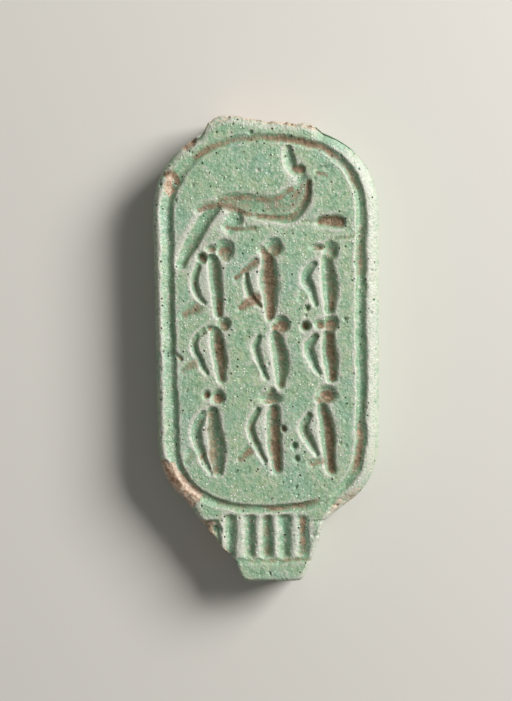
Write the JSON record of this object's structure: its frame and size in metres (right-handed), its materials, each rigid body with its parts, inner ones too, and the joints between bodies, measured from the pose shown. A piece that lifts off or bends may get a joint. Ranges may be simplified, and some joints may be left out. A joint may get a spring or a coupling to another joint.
{
  "type": "necropolis seal",
  "caption": "Oblong faience seal with round ends, a jackal over rows of bound captives sunk inside a border groove, and a reeded lower terminal.",
  "frame": {"origin": "middle of the flat back, halfway along the seal's length and width", "axes": "+Y along the face towards its upper end, where the jackal lies; +X towards the right side of the face; +Z straight out of the carved face"},
  "size_m": [0.0146, 0.03, 0.0035],
  "materials": {
    "faience": "satin"
  },
  "bodies": {
    "root": {"seal": "faience"}
  },
  "joints": []
}
